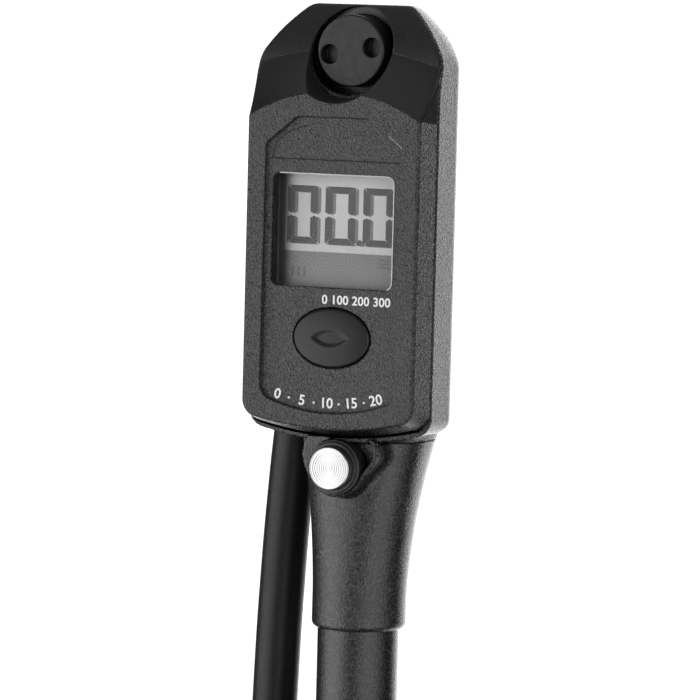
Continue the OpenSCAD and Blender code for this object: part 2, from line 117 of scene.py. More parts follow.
# ---------------------------------------------------------------- meshes from solid formulas
# A field gives, for arrays of X, Y, Z, about the distance outside a solid: negative inside.


def cut_corner(a, b, r):
    """The room inside both a and b, with their common edge rounded to radius r."""
    return (np.minimum(-r, np.maximum(a, b))
            + np.hypot(np.maximum(r + a, 0), np.maximum(r + b, 0)))


def fill_corner(a, b, r):
    """Either a or b, with a fillet of radius r where they meet."""
    return -cut_corner(-a, -b, r)


def between(value, low, high):
    return np.maximum(low - value, value - high)


def plate(X, Z, half_width, low, high, corner):
    """Rectangle with round corners in X and Z."""
    middle = (low + high) / 2
    a = np.abs(X) - half_width
    b = np.abs(Z - middle) - (high - low) / 2
    return cut_corner(a, b, corner)


def ellipse(X, Z, a, b):
    k = np.hypot(X / a, Z / b) + 1e-6
    steep = np.hypot(X / a ** 2, Z / b ** 2) + 1e-6
    return (k - 1) * k / steep


def crossings(v, axis):
    """For each grid edge along an axis: is the surface crossed, and how far along."""
    n = v.shape[axis]
    a = v.take(range(n - 1), axis)
    b = v.take(range(1, n), axis)
    crossed = (a < 0) != (b < 0)
    t = np.where(crossed, a / np.where(crossed, a - b, 1), 0)
    return crossed, t, a < 0


def gradient(field, p):
    h = 0.02
    g = np.empty_like(p)
    for i in range(3):
        step = np.zeros(3)
        step[i] = h
        g[:, i] = field(*(p + step).T) - field(*(p - step).T)
    return g / (2 * h)


def surface(field, low, high, step):
    """Vertices, quads and normals of the surface where the field is zero."""
    grids = [np.arange(low[i] - step, high[i] + 2 * step, step) for i in range(3)]
    v = field(*np.meshgrid(*grids, indexing="ij"))
    cells = tuple(n - 1 for n in v.shape)
    total = np.zeros(cells + (3,))
    count = np.zeros(cells)
    edges = [crossings(v, axis) for axis in range(3)]
    for axis, (crossed, t, _) in enumerate(edges):
        others = [i for i in range(3) if i != axis]
        for da in (0, 1):
            for db in (0, 1):
                cut = [slice(None)] * 3
                cut[others[0]] = slice(da, da + cells[others[0]])
                cut[others[1]] = slice(db, db + cells[others[1]])
                here = crossed[tuple(cut)]
                count += here
                total[..., axis] += t[tuple(cut)]
                total[..., others[0]] += da * here
                total[..., others[1]] += db * here
    used = count > 0
    index = np.full(cells, -1)
    index[used] = np.arange(used.sum())
    where = np.argwhere(used)
    points = where + total[used] / count[used][:, None]
    points = points * step + np.array([g[0] for g in grids])
    quads = []
    for axis, (crossed, _, inside_first) in enumerate(edges):
        b, c = (axis + 1) % 3, (axis + 2) % 3
        spot = np.argwhere(crossed)
        spot = spot[(spot[:, b] > 0) & (spot[:, c] > 0)
                    & (spot[:, b] < cells[b]) & (spot[:, c] < cells[c])]
        ring = []
        for db, dc in ((1, 1), (0, 1), (0, 0), (1, 0)):
            cell = spot.copy()
            cell[:, b] -= db
            cell[:, c] -= dc
            ring.append(index[tuple(cell.T)])
        ring = np.stack(ring, 1)
        flip = ~inside_first[tuple(spot.T)]
        ring[flip] = ring[flip][:, ::-1]
        quads.append(ring)
    for _ in range(4):      # pull the points onto the exact surface
        g = gradient(field, points)
        value = field(*points.T)
        move = value / np.maximum((g ** 2).sum(1), 0.2)
        points -= np.clip(move, -0.5 * step, 0.5 * step)[:, None] * g
    normals = gradient(field, points)
    normals /= np.linalg.norm(normals, axis=1)[:, None] + 1e-9
    return points, np.concatenate(quads), normals


def link(obj):
    bpy.context.scene.collection.objects.link(obj)
    return obj


def object_from(name, points, faces, normals=None):
    mesh = bpy.data.meshes.new(name)
    mesh.from_pydata((np.asarray(points) * MM).tolist(), [], [list(f) for f in faces])
    mesh.validate()
    mesh.update()
    mesh.polygons.foreach_set("use_smooth", [True] * len(mesh.polygons))
    if normals is not None and len(normals) == len(mesh.vertices):
        mesh.normals_split_custom_set_from_vertices(normals.tolist())
    return link(bpy.data.objects.new(name, mesh))


def carved(name, field, low, high, step):
    """Object whose surface is where the field is zero, on a grid of this step."""
    points, faces, normals = surface(field, low, high, step)
    return object_from(name, points, faces, normals)


def box_mm(node, spare=0.5):
    """A CAD node's box in millimetres, widened on every side."""
    low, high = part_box(node)
    return [v / MM - spare for v in low], [v / MM + spare for v in high]


# ---------------------------------------------------------------- gauge head

HEAD_W = 22.97        # half width of the rear housing
HEAD_Z = 174.6        # middle of its lower edge
TOP_Z = 275.0
TOP_W = 12.4
SHOULDER_Z = 262.5
SOLE_R = 83.0         # bow of the lower edge
FACE_Y = -21.35       # grained front face
PART_Y = -14.0        # where cover and housing meet
BACK_Y = 6.5
BEVEL_Y = -1.7        # where the back's bevels begin
PANEL_Y = -20.5       # shallow panel in the face
PANEL_LOW_R = 42.5    # bow of the panel's lower edge, and its middle
PANEL_LOW_Z = 224.2
SWIVEL_Z = 264.4
POCKET_R = 10.2
CREASE_Y = -13.2      # depth of the crease between scoop and upper face
BLOCK_Y = -5.4        # floor of the pocket
COUNTERSINK = 0.2     # how much the pocket widens for each millimetre towards the reader
WINDOW_W = 15.2       # half width of the window, its lower and upper edges, its corners
WINDOW_LOW, WINDOW_HIGH = 210.5, 236.3
WINDOW_BEND = 1.8
KEY_X, KEY_Z = 0.6, 199.0
HATCH_Z = 222.0
SCREW_X, SCREW_Z = 13.0, (183.5, 249.0)
BLEED_Z = 168.9
SEAM = 0.13           # half of the gap between cover and housing
ARC_Z = 215.1         # middle of the arc where the grained face ends
ARC_R = 40.0


def sole(X, Z, z0):
    return np.hypot(X, Z - z0 - SOLE_R) - SOLE_R


def shoulder(X, Z, bow=0.9):
    """Gently bowed slope between the side and the flat top."""
    run, rise = TOP_W - HEAD_W, TOP_Z - SHOULDER_Z
    length = math.hypot(run, rise)
    dx, dz = np.abs(X) - HEAD_W, Z - SHOULDER_Z
    along = np.clip((dx * run + dz * rise) / length ** 2, 0, 1)
    return (dx * rise - dz * run) / length - bow * (1 - (2 * along - 1) ** 2)


def head_outline(X, Z, half_width, z0):
    d = cut_corner(np.abs(X) - half_width, sole(X, Z, z0), 3.0)
    d = cut_corner(d, shoulder(X, Z), 1.0)
    return cut_corner(d, Z - TOP_Z, 0.8)


def upper_face(Z):
    """Depth of the smooth face that leans back above the crease."""
    dz = Z - 262
    return CREASE_Y + 0.318 * dz + 0.01045 * dz ** 2


def crease(X):
    return 265.0 - 0.0076 * X ** 2


def face_end(X):
    return ARC_Z + np.sqrt(np.maximum(ARC_R ** 2 - X ** 2, 1))


def front(X, Z):
    """Depth of the cover's front: flat, then scooped, then leaning back."""
    start, stop = face_end(X), crease(X)
    t = np.clip((Z - start) / (stop - start), 0, 1)
    scoop = t + 0.33 * t * (1 - t)
    y_crease = upper_face(stop)
    y = FACE_Y + (y_crease - FACE_Y) * scoop
    return np.where(Z > stop, upper_face(Z), y)


def parting(Z):
    return np.where(Z > 250, np.maximum(PART_Y, upper_face(Z) + 0.9), PART_Y)


def panel_shape(X, Z):
    """The shallow panel: bevelled top corners and a bowed lower edge."""
    x = np.abs(X)
    side = x - (17.0 - 0.0035 * np.abs(Z - 190))
    top = cut_corner(side, (x - 16.7) * 0.63 + (Z - 242.9) * 0.78 - 0.1, 0.6)
    top = cut_corner(top, Z - 249.35, 0.6)
    return cut_corner(top, np.hypot(X, Z - PANEL_LOW_Z) - PANEL_LOW_R, 2.3)


def cover_field(X, Y, Z):
    ahead = np.maximum(PART_Y - Y, 0)
    d = head_outline(X, Z, HEAD_W - 0.1 - 0.2 * ahead, 175.9 + 0.286 * ahead)
    d = cut_corner(d, (front(X, Z) - Y) * 0.92, 0.7)
    d = cut_corner(d, Y - parting(Z) + SEAM, 0.2)
    room = np.maximum(between(Z, 181, 250), np.maximum(np.abs(X) - 19.6, FACE_Y + 2 - Y))
    rebate = np.maximum(head_outline(X, Z, HEAD_W - 1, HEAD_Z + 2.2), PART_Y - 1.7 - Y)
    rebate = np.maximum(rebate, Z - 255)
    d = np.maximum(d, -np.minimum(room, rebate))
    d = cut_corner(d, -np.maximum(panel_shape(X, Z), Y - PANEL_Y), 0.15)
    window = np.maximum(plate(X, Z, WINDOW_W, WINDOW_LOW, WINDOW_HIGH, WINDOW_BEND), Y + 16)
    key = np.maximum(ellipse(X - KEY_X, Z - KEY_Z, 9.72, 7.02), Y + 16)
    widening = COUNTERSINK * np.maximum(CREASE_Y - Y, 0)
    pocket = (np.hypot(X, Z - SWIVEL_Z) - POCKET_R - widening) * 0.98
    d = cut_corner(d, -np.minimum(window, key), 0.22)
    return cut_corner(d, -pocket, 0.3)


def neck_size(Z):
    """Half width, half depth and middle in Y of the neck, and of its swell up the back."""
    s = np.clip((Z - 135) / 41, 0, 1)
    u = np.clip((Z - 176) / 24, 0, 1.3)
    a = 11.0 + 4.6 * s ** 2 - 7.6 * u
    b = 11.0 + 2.4 * s ** 2 - 7.9 * u
    return a, b, 0.2 + 3.7 * s ** 1.5 - 4.1 * u


def neck_core(X, Y, Z):
    a, b, middle = neck_size(Z)
    power = 2.0 + 0.5 * np.clip((Z - 140) / 35, 0, 1)
    q = ((np.abs(X) / a) ** power + (np.abs(Y - middle) / b) ** power) ** (1 / power)
    return (q - 1) * np.minimum(a, b) * 0.95


def housing_field(X, Y, Z):
    edge = head_outline(X, Z, HEAD_W, HEAD_Z)
    back = Y - BEVEL_Y
    side = (np.abs(X) - HEAD_W) * 0.761 + back * 0.649
    low = sole(X, Z, HEAD_Z) * 0.854 + back * 0.521
    slope = shoulder(X, Z) * 0.939 + back * 0.344
    outer = edge
    for cut in (side, low, slope, Y - BACK_Y):
        outer = cut_corner(outer, cut, 1.6)
    outer = fill_corner(outer, np.maximum(neck_core(X, Y, Z), Z - 198), 2.5)
    d = np.maximum(outer, HEAD_Z - 0.15 - Z)
    seam = parting(Z)
    d = cut_corner(d, seam + SEAM - Y, 0.2)
    inner = np.maximum.reduce([edge, side, low, slope, Y - BACK_Y]) + 2
    inner = np.where(Z > 252, np.maximum(inner, seam + 2 - Y), inner)
    d = np.maximum(d, -inner)
    lip = np.maximum(np.abs(edge + 1.45) - 0.4, between(Y, PART_Y - 1.4, PART_Y + 2))
    d = np.minimum(d, np.maximum(lip, between(Z, 170, 254)))
    pocket = np.maximum(np.hypot(X, Z - SWIVEL_Z) - POCKET_R, Y - BLOCK_Y)
    d = np.maximum(d, -pocket)
    bore = np.hypot(X, Z - SWIVEL_Z) - 6.05
    hatch = np.hypot(X, Z - HATCH_Z) - 12.62
    d = cut_corner(d, -np.maximum(np.minimum(bore, hatch), -Y), 0.3)
    for z in SCREW_Z:
        screw = np.maximum(np.hypot(np.abs(X) - SCREW_X, Z - z) - 2.6, 5.2 - Y)
        d = cut_corner(d, -screw, 0.25)
    return d


def neck_field(X, Y, Z):
    core = cut_corner(neck_core(X, Y, Z), 130 - Z, 1.7)
    round_part = np.hypot(X, Z - BLEED_Z) - 7.1
    wings = plate(X - 1.1, Z, 8.7, 170.0, 176.4, 2.2)
    outline = fill_corner(round_part, wings, 5.0)
    boss = cut_corner(outline, -15.4 - Y, 0.9)
    boss = np.maximum(boss, Y + 4)
    moat = np.maximum(outline + 1.1, np.maximum(Y + 12, -1.5 - X))
    d = cut_corner(fill_corner(core, boss, 1.4), -moat, 0.3)
    lid = np.where(Y > PART_Y - 0.1, HEAD_Z - 0.25, 175.8)
    d = np.maximum(d, Z - lid)
    d = cut_corner(d, -np.maximum(np.hypot(X, Z - BLEED_Z) - 6.42, Y + 9), 0.2)
    return np.maximum(d, -np.maximum(np.hypot(X, Y) - 9.52, Z - 150))


# ---------------------------------------------------------------- small moulded pieces

def key_field(X, Y, Z):
    """Oval rubber key: a crowned face with a small lens-shaped dip, and a skirt inside."""
    x, z = X - KEY_X, Z - KEY_Z
    rim = ellipse(x, z, 9.45, 6.75)
    k = np.clip(np.hypot(x / 9.45, z / 6.75), 0, 1.1)
    lens = np.hypot(x, np.abs(z) + 4.39) - 6.69
    t = np.clip(-lens / 1.3, 0, 1)
    crown = -21.85 + k ** 2.4 + 0.55 * t * t * (3 - 2 * t)
    d = cut_corner(rim, (crown - Y) * 0.95, 0.45)
    d = np.maximum(d, Y + 18.6)
    skirt = np.maximum(ellipse(x, z, 10.35, 7.65), between(Y, -19.25, -18.5))
    stem = np.maximum(np.hypot(x, z) - 2, between(Y, -19, -14.6))
    return np.minimum(np.minimum(d, skirt), stem)


def cap_field(X, Y, Z):
    """Swivel bolt: round cap with two spanner holes, and the shaft out of the back."""
    r = np.hypot(X, Z - SWIVEL_Z)
    cap = cut_corner(r - 8.3, between(Y, -12.7, BLOCK_Y), 0.45)
    tilt = math.radians(9.6)
    for side in (-1, 1):
        x, z = side * 5.35 * math.cos(tilt), SWIVEL_Z + side * 5.35 * math.sin(tilt)
        cap = cut_corner(cap, -np.maximum(np.hypot(X - x, Z - z) - 2.2, Y + 9.7), 0.2)
    shaft = cut_corner(r - 4, between(Y, -6, 22.4), 0.4)
    shaft = np.maximum(shaft, -np.maximum(3.3 - r, between(Y, 20.9, 21.9)))
    return np.minimum(cap, shaft)


LEAN = math.radians(19.5)


def on_arm(X, Y, Z):
    """Distance from the axis of the hose's first stretch, and the place along it."""
    x, y, z = X, Y - HOSE_Y, Z - SWIVEL_Z
    along = -x * math.sin(LEAN) - z * math.cos(LEAN)
    across = -x * math.cos(LEAN) + z * math.sin(LEAN)
    return np.hypot(across, y), along


def fitting_field(X, Y, Z):
    """Eye of the swivel with the short arm that carries the hose."""
    eye = cut_corner(np.hypot(X, Z - SWIVEL_Z) - 8.2, between(Y, 8.5, 20.7), 0.8)
    r, along = on_arm(X, Y, Z)
    arm = cut_corner(r - 5, between(along, 2, 15), 0.3)
    collar = cut_corner(r - 5.9, between(along, 12.6, 15), 0.4)
    d = fill_corner(eye, np.minimum(arm, collar), 1.8)
    return cut_corner(d, -(np.hypot(X, Z - SWIVEL_Z) - 4.06), 0.3)


def hatch_field(X, Y, Z):
    """Battery door: a disc with a coin slot and a raised rim."""
    r = np.hypot(X, Z - HATCH_Z)
    d = cut_corner(r - 12.5, between(Y, 4.3, 6.9), 0.35)
    d = cut_corner(d, -np.maximum(np.abs(r - 10.6) - 0.35, 6.5 - Y), 0.12)
    slot = np.maximum(plate(X, Z, 7, 221.1, 222.9, 0.85), 5.7 - Y)
    d = cut_corner(d, -slot, 0.15)
    groove = np.maximum(11.7 - r, between(Y, 5.1, 6.0))
    return np.maximum(d, -groove)


# ---------------------------------------------------------------- turned pieces

def arc(cr, ch, r, a0, a1, n=6):
    """Points of an arc in radius and height, angles in degrees."""
    turn_by = np.radians(np.linspace(a0, a1, n + 1))
    return [(cr + r * math.cos(a), ch + r * math.sin(a)) for a in turn_by]


def rounded(outline, r):
    """A closed outline with each corner replaced by five points of a short curve."""
    result = []
    n = len(outline)
    for i, p in enumerate(outline):
        p = Vector(p)
        before, after = Vector(outline[i - 1]) - p, Vector(outline[(i + 1) % n]) - p
        reach = min(r, before.length * 0.45, after.length * 0.45)
        a, b = p + before.normalized() * reach, p + after.normalized() * reach
        for t in (0, 0.25, 0.5, 0.75, 1):
            result.append(tuple(a * (1 - t) ** 2 + p * 2 * t * (1 - t) + b * t ** 2))
    return result


def turned(name, outline, centre=(0, 0, 0), axis="Z", steps=128, wave=None):
    """Spin a closed outline of (radius, height) round an axis through a point."""
    outline = [(max(r, 0.001), h) for r, h in outline]
    m = len(outline)
    points, faces = [], []
    for k in range(steps):
        a = 2 * math.pi * k / steps
        for r, h in outline:
            r += wave(a, r, h) if wave else 0
            local = (r * math.cos(a), r * math.sin(a), h)
            if axis == "Y":
                local = (local[0], h, -local[1])
            points.append([c + v for c, v in zip(centre, local)])
    for k in range(steps):
        for i in range(m):
            j, k1 = (i + 1) % m, (k + 1) % steps
            faces.append((k * m + i, k1 * m + i, k1 * m + j, k * m + j))
    piece = object_from(name, points, faces)
    sharpen(piece)
    return piece


def sharpen(piece, angle=38):
    """Keep hard edges hard and the rest smooth."""
    for polygon in piece.data.polygons:
        polygon.use_smooth = True
    piece.data.set_sharp_from_angle(angle=math.radians(angle))


def turned_tube(name, outer, inner, low, high, r, **kw):
    outline = [(inner, low), (outer, low), (outer, high), (inner, high)]
    return turned(name, rounded(outline, r), **kw)


# ---------------------------------------------------------------- materials

def put(tree, kind, inputs=None, **settings):
    """A node with its settings and inputs; an input given as a socket is linked."""
    made = tree.nodes.new(kind)
    for key, value in settings.items():
        setattr(made, key, value)
    for key, value in (inputs or {}).items():
        if isinstance(value, bpy.types.NodeSocket):
            tree.links.new(value, made.inputs[key])
        else:
            made.inputs[key].default_value = value
    return made


def math_node(tree, operation, a, b=0.0, c=0.0):
    made = put(tree, "ShaderNodeMath", operation=operation)
    for socket, value in zip(made.inputs, (a, b, c)):
        if isinstance(value, bpy.types.NodeSocket):
            tree.links.new(value, socket)
        else:
            socket.default_value = value
    return made.outputs[0]


def times(tree, a, b):
    return math_node(tree, "MULTIPLY", a, b)


def plus(tree, a, b):
    return math_node(tree, "ADD", a, b)


def inverted(tree, value):
    return math_node(tree, "SUBTRACT", 1.0, value)


def mapped(tree, value, low, high, first=0.0, last=1.0, **settings):
    """The value, mapped from low and high to first and last."""
    return put(tree, "ShaderNodeMapRange", {"Value": value, "From Min": low, "From Max": high,
                                            "To Min": first, "To Max": last},
               **settings).outputs["Result"]


def spread(tree, value, low, high):
    """Map a noise value, which stays near one half, to the range from low to high."""
    return mapped(tree, value, 0.3, 0.7, low, high)


def noise(tree, place, scale, detail=2.0, rough=0.5):
    return put(tree, "ShaderNodeTexNoise", {"Vector": place, "Scale": scale, "Detail": detail,
                                            "Roughness": rough}).outputs["Fac"]


def bumped(tree, skin, height, strength, depth):
    """Raise the surface by the height, up to a depth in millimetres."""
    bump = put(tree, "ShaderNodeBump", {"Height": height, "Strength": strength,
                                        "Distance": depth * MM})
    tree.links.new(bump.outputs["Normal"], skin.inputs["Normal"])


def shaded(tree, amount, first, second):
    """From the first colour to the second as the amount goes from nothing to one."""
    ends = [c if isinstance(c, bpy.types.NodeSocket) else (*c, 1) for c in (first, second)]
    return put(tree, "ShaderNodeMix", {"Factor": amount, "A": ends[0], "B": ends[1]},
               data_type="RGBA").outputs["Result"]


def start(name, metallic=0.0):
    """A new material, its node tree, its shader, and the place in the CAD frame."""
    made = bpy.data.materials.new(name)
    made.use_nodes = True
    tree = made.node_tree
    skin = tree.nodes["Principled BSDF"]
    skin.inputs["Metallic"].default_value = metallic
    place = put(tree, "ShaderNodeTexCoord").outputs["Object"]
    return made, tree, skin, place


def scaled(color, k):
    return tuple(min(1.0, c * k) for c in color)


def moulded(name, color, rough, grain=0.34, depth=0.03, speckle=0.25, metallic=0.0, blotch=0.12,
            dots=0.0, shine=0.5):
    """Moulded, cast or blasted surface: grain size and depth in millimetres.

    Dots is the share of the colour's variation that sits in separate small grains.
    """
    made, tree, skin, place = start(name, metallic)
    fine = noise(tree, place, 1000 / grain, rough=0.6)
    cells = put(tree, "ShaderNodeTexVoronoi", {"Vector": place, "Scale": 1000 / grain}).outputs
    broad = noise(tree, place, 90.0, 3.0)
    tint = plus(tree, times(tree, fine, 1 - blotch), times(tree, broad, blotch))
    tint = spread(tree, tint, 0, 1)
    if dots:
        lone = put(tree, "ShaderNodeSeparateXYZ", {0: cells["Color"]}).outputs["X"]
        tint = plus(tree, times(tree, tint, 1 - dots),
                    times(tree, math_node(tree, "POWER", lone, 2.0), dots))
    skin.inputs["Roughness"].default_value = rough
    skin.inputs["Specular IOR Level"].default_value = shine
    tree.links.new(shaded(tree, tint, scaled(color, 1 - speckle), scaled(color, 1 + speckle)),
                   skin.inputs["Base Color"])
    tree.links.new(spread(tree, fine, rough - 0.07, rough + 0.07), skin.inputs["Roughness"])
    bumped(tree, skin, plus(tree, fine, times(tree, cells["Distance"], 0.7)), 1.0, depth)
    return made


def machined(name, color, rough, direction, pitch=0.12, depth=0.004):
    """Turned or ground metal: fine lines across the given direction."""
    made, tree, skin, place = start(name, 1.0)
    stretch = tuple(1.0 if d else 0.02 for d in direction)
    lines_at = put(tree, "ShaderNodeMapping", {"Vector": place, "Scale": stretch}).outputs["Vector"]
    lines = noise(tree, lines_at, 1000 / pitch)
    broad = noise(tree, place, 120.0)
    tree.links.new(shaded(tree, spread(tree, broad, 0, 1), scaled(color, 0.9), scaled(color, 1.05)),
                   skin.inputs["Base Color"])
    tree.links.new(spread(tree, lines, rough - 0.06, rough + 0.08), skin.inputs["Roughness"])
    bumped(tree, skin, lines, 0.8, depth)
    return made


def ringed(name, color, rough):
    """Metal face turned round the bleed valve's axis: lines along circles."""
    made, tree, skin, place = start(name, 1.0)
    reach = reach_from(tree, place, BLEED_Z)
    rings = put(tree, "ShaderNodeTexNoise", {"W": reach, "Scale": 4200.0, "Detail": 3.0},
                noise_dimensions="1D").outputs["Fac"]
    tint = spread(tree, rings, 0, 1)
    tree.links.new(shaded(tree, tint, scaled(color, 0.72), scaled(color, 1.15)),
                   skin.inputs["Base Color"])
    tree.links.new(spread(tree, rings, rough - 0.08, rough + 0.1), skin.inputs["Roughness"])
    bumped(tree, skin, rings, 1.0, 0.02)
    return made


def reach_from(tree, place, z):
    """Distance, in metres, from the line along Y at this height in millimetres."""
    offset = put(tree, "ShaderNodeVectorMath", {0: place, 1: (0, 0, z * MM)},
                 operation="SUBTRACT").outputs[0]
    flat = put(tree, "ShaderNodeVectorMath", {0: offset, 1: (1, 0, 1)},
               operation="MULTIPLY").outputs[0]
    return put(tree, "ShaderNodeVectorMath", {0: flat}, operation="LENGTH").outputs["Value"]


def ramp(tree, value, low, high, **settings):
    """Nothing up to low, one from high on; in millimetres."""
    return mapped(tree, value, low * MM, high * MM, **settings)


def place_in(made):
    """X, Y and Z of the place that a material is asked for, and the place itself."""
    tree = made.node_tree
    place = next(n for n in tree.nodes if n.type == "TEX_COORD").outputs["Object"]
    return put(tree, "ShaderNodeSeparateXYZ", {0: place}).outputs, place


def smoothed(made, mask, color, rougher):
    """Where the mask is one: no grain, this colour, and a roughness higher by this much."""
    tree = made.node_tree
    skin = tree.nodes["Principled BSDF"]
    bump = next(n for n in tree.nodes if n.type == "BUMP")
    grain = inverted(tree, times(tree, mask, 0.93))
    if bump.inputs["Strength"].is_linked:
        grain = times(tree, grain, bump.inputs["Strength"].links[0].from_socket)
    tree.links.new(grain, bump.inputs["Strength"])
    before = skin.inputs["Base Color"].links[0].from_socket
    tree.links.new(shaded(tree, mask, before, color), skin.inputs["Base Color"])
    rough = skin.inputs["Roughness"].links[0].from_socket
    tree.links.new(plus(tree, rough, times(tree, mask, rougher)), skin.inputs["Roughness"])


# Near black painted on the walls of the swivel's pocket as painted shade, in cover and housing
POCKET_PAINTED_SHADE = (0.002, 0.002, 0.002)


def cover_material():
    """Spark grain on the flat face and the sides, smooth satin above the arc, and painted shade,
    near black, on the pocket's walls.
    """
    made = moulded("cover_plastic", (0.021, 0.021, 0.022), 0.27, grain=0.4, depth=0.2,
                   speckle=0.95, dots=0.7)
    tree = made.node_tree
    parts, place = place_in(made)
    above = math_node(tree, "GREATER_THAN", parts["Z"], ARC_Z * MM)
    ring = ramp(tree, reach_from(tree, place, ARC_Z), ARC_R + 0.1, ARC_R + 0.45)
    smoothed(made, times(tree, ring, above), (0.013, 0.013, 0.014), 0.06)
    ahead = math_node(tree, "SUBTRACT", CREASE_Y * MM, parts["Y"])
    widening = times(tree, math_node(tree, "MAXIMUM", ahead), COUNTERSINK)
    reach = math_node(tree, "SUBTRACT", reach_from(tree, place, SWIVEL_Z), widening)
    # Painted shade: the pocket's walls, widening with the countersink, turn near black
    pocket = inverted(tree, ramp(tree, reach, POCKET_R + 0.1, POCKET_R + 0.25))
    smoothed(made, pocket, POCKET_PAINTED_SHADE, 0.3)
    return made


def housing_material():
    """Spark grain, with painted shade, smooth and near black, on the wall of the swivel's pocket.
    """
    made = moulded("housing_plastic", (0.026, 0.026, 0.027), 0.26, grain=0.42, depth=0.2,
                   speckle=0.95, dots=0.7)
    tree = made.node_tree
    parts, place = place_in(made)
    reach = reach_from(tree, place, SWIVEL_Z)
    # Painted shade: the pocket's wall on the front side turns near black
    pocket = inverted(tree, ramp(tree, reach, POCKET_R + 0.1, POCKET_R + 0.3))
    front_side = math_node(tree, "LESS_THAN", parts["Y"], 0.0)
    smoothed(made, times(tree, pocket, front_side), POCKET_PAINTED_SHADE, 0.1)
    return made


def display_material():
    """Liquid crystal glass: a light field above a darker strip, with a painted shadow along its
    left edge.
    """
    made, tree, skin, place = start("display_glass")
    parts = put(tree, "ShaderNodeSeparateXYZ", {0: place}).outputs
    in_field = ramp(tree, parts["Z"], 218.1, 218.3)
    down_strip = mapped(tree, parts["Z"], 210 * MM, 218 * MM, 1.0, 0.0)
    grey = shaded(tree, down_strip, (0.14, 0.14, 0.14), (0.24, 0.24, 0.24))
    fine = noise(tree, place, 1800.0, 3.0)
    pale = shaded(tree, spread(tree, fine, 0, 1), (0.47, 0.47, 0.47), (0.54, 0.54, 0.54))
    glass = shaded(tree, in_field, grey, pale)
    # Painted shadow: towards its left edge the glass darkens to near black, as if the window's wall
    # shaded it
    clear = ramp(tree, parts["X"], -15.4, -11.6, interpolation_type="SMOOTHSTEP")
    tree.links.new(shaded(tree, clear, (0.02, 0.02, 0.02), glass), skin.inputs["Base Color"])
    tree.links.new(spread(tree, fine, 0.32, 0.4), skin.inputs["Roughness"])
    return made


def lens_material():
    """Clear window, a little smeared."""
    made, tree, skin, place = start("clear_lens")
    smear = noise(tree, place, 60.0)
    tree.links.new(spread(tree, smear, 0.02, 0.06), skin.inputs["Roughness"])
    skin.inputs["Base Color"].default_value = (0.9, 0.92, 0.92, 1)
    skin.inputs["Alpha"].default_value = 0.08
    return made


BLACK = (0.018, 0.018, 0.019)
LOOKS = {
    "grained_black": housing_material(),
    "cover_black": cover_material(),
    "handle_plastic": moulded("handle_plastic", BLACK, 0.45, grain=0.7, depth=0.12),
    "white_plastic": moulded("acetal", (0.72, 0.70, 0.62), 0.35, grain=0.8, depth=0.004,
                             speckle=0.04),
    "black_barrel": moulded("blasted_barrel", (0.022, 0.022, 0.023), 0.2, grain=0.4,
                            depth=0.09, speckle=0.95, dots=0.7),
    "bare_aluminium": machined("turned_aluminium", (0.42, 0.42, 0.43), 0.32, (0, 0, 1)),
    "steel": machined("ground_steel", (0.3, 0.3, 0.31), 0.3, (0, 0, 1)),
    "brass": machined("machined_brass", (0.42, 0.29, 0.12), 0.3, (0, 0, 1)),
    "cap_grey": moulded("cap_paint", (0.009, 0.009, 0.0095), 0.42, grain=1.2, depth=0.004,
                        speckle=0.08, shine=0.33),
    "fitting_black": moulded("fitting_paint", BLACK, 0.4, grain=0.7, depth=0.006, speckle=0.1),
    "grip_rubber": moulded("grip_rubber", (0.024, 0.024, 0.024), 0.62, grain=0.45, depth=0.03),
    "seal_rubber": moulded("seal_rubber", (0.015, 0.015, 0.015), 0.5, grain=0.6, depth=0.01),
    "key_rubber": moulded("key_rubber", (0.009, 0.009, 0.0095), 0.46, grain=0.6, depth=0.006,
                          speckle=0.08, shine=0.34),
    "hose_rubber": moulded("hose_rubber", (0.003, 0.003, 0.0032), 0.48, shine=0.32, grain=0.9,
                           depth=0.008, speckle=0.15),
    "board_green": moulded("solder_mask", (0.02, 0.12, 0.05), 0.35, grain=1.5, depth=0.006),
    "display_glass": display_material(),
    "clear_lens": lens_material(),
}
RINGED = ringed("turned_face", (0.5, 0.5, 0.51), 0.3)
NECK = moulded("neck_plastic", (0.026, 0.026, 0.027), 0.2, grain=0.4, depth=0.11, speckle=0.95,
               dots=0.7)
INK = moulded("white_ink", (0.75, 0.75, 0.75), 0.6, grain=0.3, depth=0.002, speckle=0.05)
SEGMENT = moulded("display_segment", (0.055, 0.055, 0.06), 0.5, grain=0.5, depth=0.001, speckle=0.1)
SEGMENT.node_tree.nodes["Principled BSDF"].inputs["Alpha"].default_value = 0.88
DIM = moulded("display_shadow", (0.13, 0.13, 0.13), 0.5, grain=0.5, depth=0.001, speckle=0.05)
FAINT = moulded("display_faint", (0.12, 0.12, 0.12), 0.5, grain=0.5, depth=0.001, speckle=0.05)
# Pale colour for painted highlights: the window's rim and the panel's upper right bevel
PAINTED_HIGHLIGHT = moulded("painted_highlight", (0.6, 0.61, 0.61), 0.25, grain=1.0, depth=0.001, speckle=0.05)
# Dark lines: the arch and the line under it on the panel, and painted shade along the panel's
# recessed edges
MARK_AND_SHADE_LINE = moulded("dark_mark_and_painted_shade_line", (0.008, 0.008, 0.008), 0.7, grain=0.4, depth=0.002, speckle=0.1)


def dress(piece, body, slot, look=None):
    """Material and body of a piece; the finish slot picks the material when no look is given."""
    piece.data.materials.clear()
    piece.data.materials.append(look or LOOKS[slot])
    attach(piece, body)


def stands_for(piece, body, slot, *cad_nodes, look=None):
    """Dress a piece and let it take the place of CAD nodes."""
    dress(piece, body, slot, look)
    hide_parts(*cad_nodes)
    return piece


# ---------------------------------------------------------------- pieces of the head

FINE = 0.3
COARSE = 0.4

